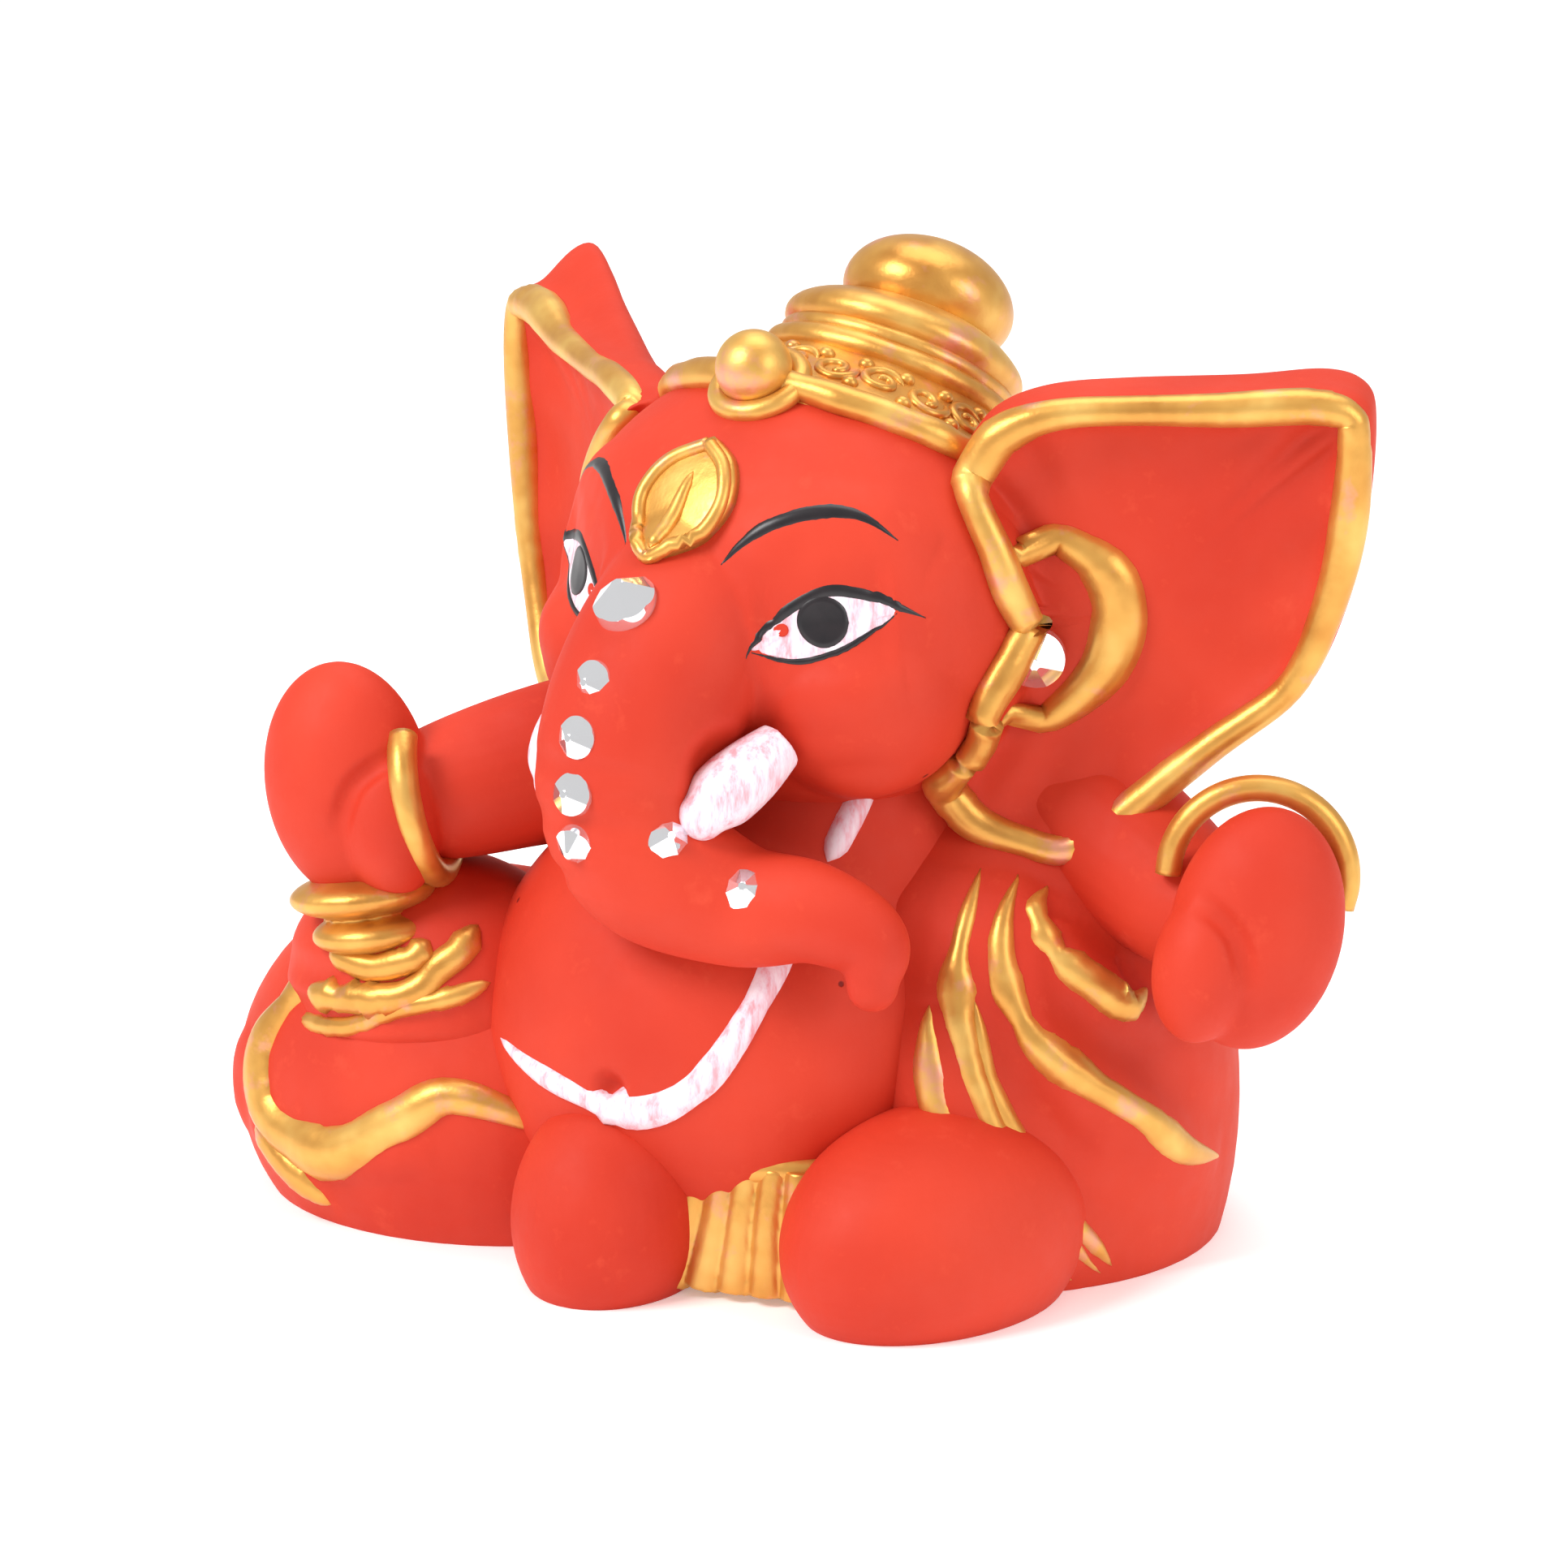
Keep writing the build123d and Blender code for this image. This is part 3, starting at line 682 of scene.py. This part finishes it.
def paint_eye(side, name):
    """Pinkish white, a black pupil, a black upper lid line, a finer lower one, a red corner and a brow line."""
    def flip(marks):
        return [(side * m[0], *m[1:]) for m in marks]

    white = flip([(7.6, 24.2, 50.1), (9.7, 22.9, 53.0), (11.8, 21.2, 54.3), (13.9, 19.6, 54.2), (15.9, 17.7, 53.1),
                  (14.4, 19.7, 51.3), (12.4, 21.5, 50.1), (10.2, 22.9, 49.5)])
    stain(name + "_eye_white", head, white, PEARL)
    ball = []
    for k in range(12):
        a = 2 * pi * k / 12
        ball.append((12.0 + 1.75 * cos(a), 21.6 - 1.1 * cos(a), 52.35 + 1.95 * sin(a)))
    stain(name + "_pupil", head, flip(ball), BLACK, 0.14)
    dot = []
    for k in range(8):
        a = 2 * pi * k / 8
        dot.append((9.3 + 0.5 * cos(a), 23.2 - 0.3 * cos(a), 51.6 + 0.5 * sin(a)))
    stain(name + "_eye_corner", head, flip(dot), RED, 0.13)
    lash = [(6.9, 24.8, 49.5, 0.5), (8.3, 23.8, 51.4, 0.8), (9.7, 22.9, 53.0), (11.8, 21.2, 54.4, 1.15),
            (13.9, 19.6, 54.3, 1.1), (15.9, 17.7, 53.4, 0.9), (17.4, 16.0, 52.4, 0.4)]
    lid = bead(name + "_lid_line", head, on_sized(flip(lash)), 0.95, 0.15, taper=0.3)
    low = [(7.4, 24.3, 49.9, 0.5), (10.2, 22.9, 49.4), (12.4, 21.5, 50.0), (14.4, 19.7, 51.2), (15.9, 17.7, 52.9, 0.6)]
    under = bead(name + "_under_line", head, on_sized(flip(low)), 0.5, 0.12, taper=0.3)
    brow = [(4.4, 24.0, 55.9, 0.5), (5.6, 23.0, 57.5, 0.9), (7.3, 21.6, 58.9), (10.1, 19.4, 59.9, 1.1),
            (12.4, 17.6, 59.5), (14.8, 16.3, 57.9, 0.6)]
    arch = bead(name + "_brow_line", head, on_sized(flip(brow)), 0.95, 0.14, taper=0.35)
    for line in (lid, under, arch):
        line.data.materials.append(BLACK)
        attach(line, "root")


def on_sized(marks):
    """Head marks, with an optional size, as places for a bead."""
    return [(*on_head(*m[:3]), m[3] if len(m) > 3 else 1.0) for m in marks]


paint_eye(1, "left")
paint_eye(-1, "right")


# ---------------------------------------------------------------- ears
NEAR_EAR = [
    (-2.6, 50.2), (-5, 52), (-7, 55.7), (-7.2, 59.4), (-5.7, 62.2), (-3.3, 65.7), (0.8, 67.5), (6.8, 68.0),
    (15.1, 68.2), (21, 68.6), (23.9, 67.6), (24.6, 65.1), (24.2, 58.9), (22.9, 52.1), (19.7, 45.1), (13.2, 39.9),
    (7.2, 34.7), (3, 31.5), (-1.2, 31.9), (-5.5, 33.7), (-8.6, 38.1), (-9.7, 42.5), (-8.6, 46.3), (-5.6, 48.6),
]
FAR_EAR = [
    (-2.6, 50.2), (-5, 52), (-7, 55.7), (-8.0, 60.0), (-5, 62.8), (0.3, 63.6), (6, 63.6), (13, 63.8),
    (18.5, 64.3), (23, 64.8), (25.8, 64.0), (26.8, 60.5), (26.4, 55), (24.6, 46.8), (22, 39.4), (18.4, 33.6),
    (13, 31.2), (7, 30.9), (1, 31.6), (-5.5, 33.7), (-8.6, 38.1), (-9.7, 42.5), (-8.6, 46.3), (-5.6, 48.6),
]


def ear_places(side):
    """The ear's root, and its outward, frontward and upward directions."""
    turn = HEAD_TURN + side * radians(33)
    outward = Vector((cos(turn), sin(turn), 0)) * side
    forward = Vector((sin(turn), -cos(turn), 0))
    root = at(17.4, -7.6, 0) if side > 0 else at(-20.9, 4.1, 0)
    return root, outward, forward


def clear_of_head(place, lift):
    """A place brought out to lift mm off the head's skin where it would be inside the head."""
    spot, normal = onto(head, place)
    if (Vector(place) - spot).dot(normal) < lift * MM:
        return spot + normal * lift * MM
    return Vector(place)


def make_ear(name, side, outline, raised):
    """A thick, dished ear: rolled edge, hollow front with soft spokes, and a full round back."""
    root, outward, forward = ear_places(side)
    edge = smooth_line(outline + [outline[0]], 7)[:-1]
    heart = np.array([6.5, 50.5])
    count = len(edge)
    mesh = bmesh.new()

    def ring(share, depth, spread=0.0, lift=0.0):
        verts = []
        for k, (u, v) in enumerate(edge):
            p = heart + (np.array([u, v]) - heart) * share
            away = np.array([u, v]) - heart
            away /= max(np.linalg.norm(away), 1e-6)
            p = p + away * spread
            angle = 2 * pi * k / count
            top = np.clip((u - 2) / 24, 0, 1) * np.clip((v - 55) / 8, 0, 1)
            reach = np.clip((share - 0.5) * 3, 0, 1) * (share < 0.86)
            spokes = 0.30 * sin(17 * angle + 0.6 * sin(5 * angle)) * reach
            out = depth + spokes - raised * 0.55 * lift * top
            place = root + outward * (p[0] * MM) + forward * (out * MM)
            place.z = ZERO.z + (p[1] + raised * lift * top) * MM
            if depth > -1.95 and p[0] < -1:
                place = clear_of_head(place, 1.1 + 0.4 * depth)
            verts.append(mesh.verts.new(place))
        return verts

    rings = [ring(1.0, -1.9, 0.25), ring(1.0, -0.5, 0.1), ring(0.975, 0.35), ring(0.93, 0.55), ring(0.89, 0.2)]
    for share, depth in ((0.84, -0.7), (0.78, -1.3), (0.68, -1.7), (0.55, -1.9), (0.4, -1.9), (0.2, -1.7)):
        rings.append(ring(share, depth))
    thick = 1.0 if side > 0 else 0.72
    back = [ring(1.0, -3.6 * thick, 0.3, 0.6), ring(0.985, -5 * thick, 0, 1), ring(0.92, -6 * thick, 0, 1)]
    for share in (0.75, 0.5, 0.2):
        back.append(ring(share, -6.5 * thick, 0.0, 0.8))
    for strip in (rings, [rings[0]] + back):
        for one, two in zip(strip, strip[1:]):
            for k in range(count):
                mesh.faces.new((one[k], one[(k + 1) % count], two[(k + 1) % count], two[k]))
        mesh.faces.new(strip[-1])
    ear = finish_mesh(name + "_ear_skin", mesh)
    fine = ear.modifiers.new("fine", "SUBSURF")
    fine.levels = 2
    bpy.ops.object.modifier_apply(modifier="fine")
    return keep(ear, RED, name + "_ear")


def ear_mark(side, u, v, size=1.0, ahead=0.6):
    """A mark for a bead on an ear: u outwards from its root, v above the shelf."""
    root, outward, forward = ear_places(side)
    place = root + outward * (u * MM) + forward * (ahead * MM)
    place.z = v * MM
    return (*clear_of_head(place, 1.2), size)


def inside(outline, margin):
    """An outline moved inwards, mm."""
    marks = [np.array(m, float) for m in outline]
    moved = []
    for k, mark in enumerate(marks):
        along = marks[(k + 1) % len(marks)] - marks[k - 1]
        along /= np.linalg.norm(along)
        moved.append(mark + np.array([along[1], -along[0]]) * margin)
    return moved


for side, name, outline, raised in ((1, "left", NEAR_EAR, 0.8), (-1, "right", FAR_EAR, 4.0)):
    ear = make_ear(name, side, outline, raised)
    rim = [ear_mark(side, u, v, 1 + 0.12 * sin(k * 1.7)) for k, (u, v) in enumerate(inside(outline, 1.5))]
    edging = bead(name + "_ear_rim_skin", ear, rim + [rim[0]], 2.5, 0.95, taper=0, seed=3 + side)
    keep(edging, GOLD, name + "_ear_rim")
    moon = [(-1.2, 56.2, 0.25), (2.6, 56.0, 0.7), (5.6, 53.9, 1.0), (6.7, 50.6, 1.1), (5.6, 46.4, 1.0),
            (2.4, 43.0, 0.7), (-2.0, 41.7, 0.25)]
    moon = [ear_mark(side, u - 0.6, v, size) for u, v, size in moon]
    keep(bead(name + "_ear_crescent_skin", ear, moon, 3.8, 1.3, taper=0.1), GOLD, name + "_ear_crescent")


# ---------------------------------------------------------------- crown, leaning back
CROWN_TILT = (-34, 0, -17)
LEAN = radians(34)


def crown(x, y, z):
    """A place in the crown's own millimetres: z along its leaning axis from the rim, front is -y."""
    return on_head(x, 1.0 - (y * cos(LEAN) + z * sin(LEAN)), 58.8 - y * sin(LEAN) + z * cos(LEAN))


def hoop(name, z, radius, bead_size, tilt=CROWN_TILT, place=None):
    """A ring of clay round the crown's axis, or round another place and tilt."""
    angles = tuple(radians(a) for a in tilt)
    bpy.ops.mesh.primitive_torus_add(location=place or crown(0, 0, z), rotation=angles, major_radius=radius * MM,
                                     minor_radius=bead_size / 2 * MM, major_segments=96, minor_segments=20)
    ring = bpy.context.object
    ring.name = name
    bpy.ops.object.transform_apply(location=True, rotation=True, scale=True)
    bpy.ops.object.shade_smooth()
    return ring


def roughen(piece, amount, size, seed=1):
    """Hand-cast unevenness: broad soft swellings of amount mm, size mm apart."""
    rng = np.random.default_rng(seed)
    co, no = points_of(piece)
    push = np.zeros(len(co))
    for _ in range(6):
        way = rng.standard_normal(3)
        way /= np.linalg.norm(way)
        push += np.sin(co @ way * 2 * pi / (size * MM * rng.uniform(0.7, 1.5)) + rng.uniform(0, 6))
    co += no * (push / 6 * amount * MM)[:, None]
    set_points(piece, co)


profile = ((-4.5, 12.6), (-2.5, 14.6), (-0.6, 15.2), (0.8, 14.6), (3.0, 12.3), (5.0, 10.0), (6.4, 8.9))
cap = fuse("crown_panel_skin", [roll([(crown(0, 0, z), r) for z, r in profile], 6, 64)], 0.34, 5)
roughen(cap, 0.25, 7)
keep(cap, GOLD, "crown_panel")
curls = []
for k in range(13):
    turn = radians(-90 + (k - 6) * 17)
    spin = 1 if k % 2 else -1
    marks = []
    for step in range(15):
        a = spin * step * 0.62 + 1.2
        reach = 1.85 * (1 - step / 17)
        around = turn + reach * sin(a) / 12.6
        z = 2.6 + reach * cos(a) * 0.95
        radius = 13.4 - z * 0.55
        marks.append((*crown(radius * cos(around), radius * sin(around), z), 1.0 - 0.3 * step / 15))
    curls.append(bead("curl", cap, marks, 0.85, 0.42, 3, 8, 0.1))
    between = turn + radians(8.5)
    for z in (1.0, 4.4):
        radius = 13.7 - z * 0.6
        spot, _ = onto(cap, crown(radius * cos(between), radius * sin(between), z))
        curls.append(egg(spot, (1.3, 1.3, 1.1), CROWN_TILT))
pick(*curls)
bpy.ops.object.join()
curls[0].name = "crown_scrolls"
bpy.ops.object.shade_smooth()
keep(curls[0], GOLD)
rim_ring = hoop("crown_rim_skin", 0, 15.3, 2.4)
roughen(rim_ring, 0.28, 5, 4)
keep(rim_ring, GOLD, "crown_rim")
low_ridge = hoop("crown_ridge_skin", 6.0, 9.2, 2.0)
roughen(low_ridge, 0.12, 4, 5)
keep(low_ridge, GOLD, "crown_ridge")
high_ridge = hoop("crown_ridge_upper", 7.4, 8.6, 1.6)
keep(high_ridge, GOLD)
turban = fuse("crown_turban_skin", [egg(crown(0, 0, 8.9), (19.2, 19.2, 6.6), CROWN_TILT)], 0.34, 3)
roughen(turban, 0.2, 8, 6)
keep(turban, GOLD, "crown_turban")
knob = fuse("crown_knob_skin", [egg(crown(0, 0.8, 13.5), (13.5, 13.5, 9.0), CROWN_TILT)], 0.34, 3)
roughen(knob, 0.15, 9, 7)
keep(knob, GOLD, "crown_knob")
boss_spot = crown(0, -16.5, 0.4)
boss_tilt = (28, 0, -17)
boss = fuse("crown_boss_skin", [egg(boss_spot, (5.8, 5.8, 5.8), boss_tilt)], 0.2, 2)
keep(boss, GOLD, "crown_boss")
collar_spot = tilted(boss_spot, boss_tilt, (0, 0, -1.6))
keep(hoop("boss_collar_skin", 0, 3.2, 1.7, boss_tilt, collar_spot), GOLD, "boss_collar")
leaf_marks = [(0.4, 19.4, 64.6), (3.0, 20.6, 63.2), (4.2, 22.4, 60.6), (3.0, 24.6, 58.0), (-0.2, 26.4, 55.6),
              (-3.0, 24.8, 57.6), (-4.3, 22.6, 60.2), (-3.0, 20.8, 62.8)]
leaf = stain("brow_pendant_skin", head, leaf_marks, GOLD, 0.9, 1.1)
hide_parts("brow_pendant")
edge = [(*on_head(a * 0.86, b + 1.0, c * 0.86 + 60.2 * 0.14), 1.0) for a, b, c in leaf_marks]
keep(bead("leaf_edge", leaf, edge + [edge[0]], 1.1, 0.6, taper=0), GOLD)
veins = [(-0.1, 26.6, 57.0, 0.8), (0, 25.2, 59.4), (0.2, 22.6, 62.6, 0.5)]
keep(bead("leaf_vein", leaf, on_sized(veins), 1.3, 0.6), GOLD)


# ---------------------------------------------------------------- thread, bands and fold lines
def line_on(name, host, form, marks, wide, high, material=GOLD, node=None, **more):
    """A raised line on a host, along marks on one of the body's forms, painted and kept."""
    piece = bead(name + "_skin", host, laid(form, marks), wide, high, **more)
    return keep(piece, material, *((node or name,) if node != "" else ()))


thread = ((-47, 1, 0.8), (-23, -4), (-3, -7, 1.1), (12, 1, 1.1), (23, 16), (34, 33), (42, 43))
line_on("sacred_thread", torso, BELLY, thread, 2.1, 0.6, PEARL, wobble=0.12, seed=2)
line_on("sacred_thread_chest", torso, CHEST, ((26, 10), (37, 25), (53, 41)), 2.0, 0.6, PEARL, seed=5)
knee = ((-34, 52), (-44, 31), (-49, 13, 1.1), (-41, -2), (-20, -5, 1.1), (-1, 7), (12, 15), (37, 6))
line_on("right_knee_band", thigh, THIGH, knee, 3.2, 1.0, wobble=0.14, seed=6)
line_on("right_hem_line", thigh, THIGH, ((-46, -5), (-36, -13), (-28, -18), (-22, -21.5, 0.5)), 2.2, 0.5, seed=7)
line_on("shawl_coil_low", shawl, SHAWL, ((-39, 4), (-19, 3), (8, 13), (27, 28), (41, 42)), 2.3, 0.7, wobble=0.14)
line_on("shawl_coil_high", shawl, SHAWL, ((-30, 24), (-9, 19), (7, 25), (17, 35)), 2.2, 0.7, seed=9)
shawl_marks = ((-60, -20), (-30, -12), (-4, -2), (20, 8), (41, 16))
line_on("shawl_line", shawl, SHAWL, shawl_marks, 1.5, 0.45, node="", seed=11)
for k, fold in enumerate(FOLDS):
    line_on("left_fold_" + str(k + 1), drape, DRAPE, fold, 2.2, 0.6, wobble=0.16, taper=0.2, seed=20 + k)
low_fold = ((13, 28, 0.5), (18, 15), (28, 2), (39, -9), (49, -17.5, 0.5))
line_on("left_fold_low", drape, DRAPE, low_fold, 1.6, 0.45, node="")

# ---------------------------------------------------------------- crystals keep their cut shape
for name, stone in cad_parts.items():
    if "crystal" in name:
        stone.data.materials.clear()
        stone.data.materials.append(CRYSTAL)

# ---------------------------------------------------------------- shelf, light and camera
bpy.ops.mesh.primitive_plane_add(size=6, location=(0, 0, 0))
floor = bpy.context.object
floor.name = "pale_floor"
card = bpy.data.materials.new("pale card")
card.use_nodes = True
card.node_tree.nodes["Principled BSDF"].inputs["Base Color"].default_value = linear("#FFFFFF")
card.node_tree.nodes["Principled BSDF"].inputs["Roughness"].default_value = 0.9
card.node_tree.nodes["Principled BSDF"].inputs["Emission Color"].default_value = linear("#FFFFFF")
card.node_tree.nodes["Principled BSDF"].inputs["Emission Strength"].default_value = 0.22
floor.data.materials.append(card)

world = bpy.data.worlds.new("studio")
bpy.context.scene.world = world
world.use_nodes = True
world.node_tree.nodes["Background"].inputs["Color"].default_value = linear("#FFFDFB")
world.node_tree.nodes["Background"].inputs["Strength"].default_value = 0.60


def softbox(name, place_mm, aim_mm, size, power):
    """A square soft light aimed at the figure."""
    spot, aim = at(*place_mm), at(*aim_mm)
    bpy.ops.object.light_add(type="AREA", location=spot)
    lamp = bpy.context.object
    lamp.name = name
    lamp.data.size = size
    lamp.data.energy = power
    lamp.rotation_euler = (aim - spot).to_track_quat("-Z", "Y").to_euler()
    return lamp


softbox("key", (-260, -330, 420), (0, 0, 30), 0.22, 2.3)
softbox("side", (420, -120, 260), (0, 0, 30), 0.25, 0.7)
softbox("top", (0, 120, 480), (0, 0, 30), 0.35, 1.0)

eye_spot, look_spot = at(192.6, -516.3, 202.2), at(-4.44, -2.99, 34.07)
looking = (look_spot - eye_spot).to_track_quat("-Z", "Y").to_euler()
bpy.ops.object.camera_add(location=eye_spot, rotation=looking)
camera = bpy.context.object
camera.data.lens = 172.8
camera.data.sensor_width = 36
camera.data.clip_start = 0.01
bpy.context.scene.camera = camera
bpy.context.scene.view_settings.view_transform = "Standard"
